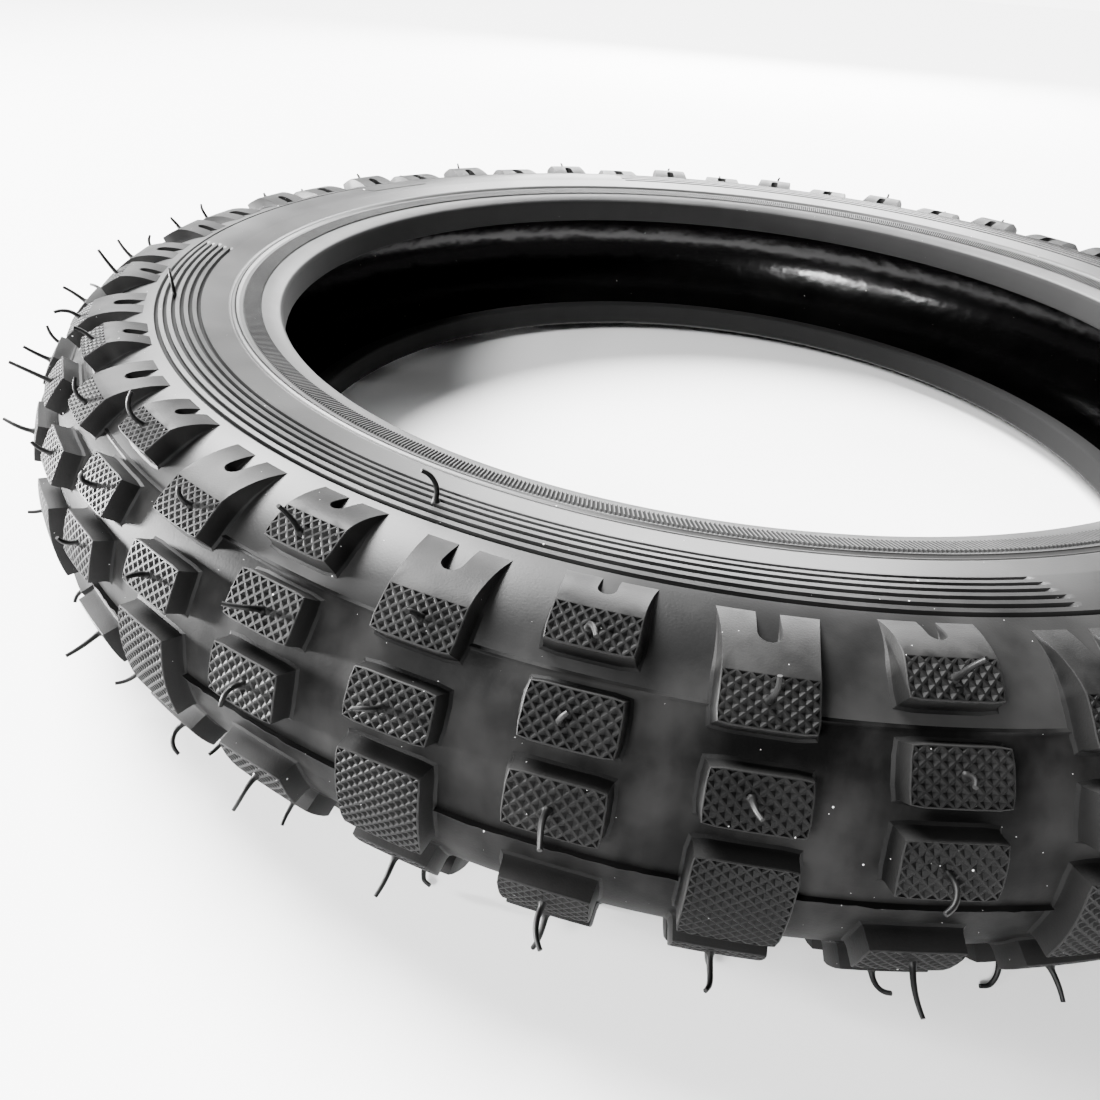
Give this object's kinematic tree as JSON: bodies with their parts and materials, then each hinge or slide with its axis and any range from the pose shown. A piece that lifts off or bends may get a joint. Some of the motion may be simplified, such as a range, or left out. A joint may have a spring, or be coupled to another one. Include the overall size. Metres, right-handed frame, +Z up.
{
  "type": "motorcycle tyre",
  "caption": "Small knobby motorcycle tyre with square tread blocks, buttressed shoulder knobs, grooved sidewalls and wire beads, shown flat and unmounted.",
  "frame": {"origin": "on the tyre's axis, at the level of the lowest shoulder knobs that it lies on", "axes": "+Z up along the tyre's axis; +X through the middle of a paired knob column"},
  "size_m": [0.3794, 0.3754, 0.0654],
  "materials": {
    "tread_rubber": "satin moulded rubber, diamond-knurled on the knob tops",
    "sidewall_rubber": "smooth semi-gloss moulded rubber",
    "chafer_rubber": "finely ribbed rubber",
    "bead_rubber": "matte",
    "liner_rubber": "glossy, with bladder marks",
    "ply_cord": "rubber-coated nylon cord",
    "bead_wire": "bronze-coated steel wire"
  },
  "bodies": {
    "root": {"inner_liner": "liner_rubber", "carcass_ply_outer": "ply_cord", "carcass_ply_inner": "ply_cord", "breaker_strip": "ply_cord", "tread_base": "tread_rubber", "parting_flash": "tread_rubber", "centre_blocks": "tread_rubber", "inner_knobs_upper": "tread_rubber", "middle_knobs_upper": "tread_rubber", "shoulder_knobs_upper": "tread_rubber", "flank_knobs_upper": "tread_rubber", "edge_knobs_upper": "tread_rubber", "bead_wires_upper": "bead_wire", "bead_insulation_upper": "bead_rubber", "bead_filler_upper": "bead_rubber", "chafer_upper": "chafer_rubber", "sidewall_upper": "sidewall_rubber", "wear_marks_upper": "sidewall_rubber", "plaque_upper": "sidewall_rubber", "vent_hairs_paired_upper": "tread_rubber", "vent_hairs_block_upper": "tread_rubber", "inner_knobs_lower": "tread_rubber", "middle_knobs_lower": "tread_rubber", "shoulder_knobs_lower": "tread_rubber", "flank_knobs_lower": "tread_rubber", "edge_knobs_lower": "tread_rubber", "bead_wires_lower": "bead_wire", "bead_insulation_lower": "bead_rubber", "bead_filler_lower": "bead_rubber", "chafer_lower": "chafer_rubber", "sidewall_lower": "sidewall_rubber", "wear_marks_lower": "sidewall_rubber", "plaque_lower": "sidewall_rubber", "vent_hairs_paired_lower": "tread_rubber", "vent_hairs_block_lower": "tread_rubber"}
  },
  "joints": []
}
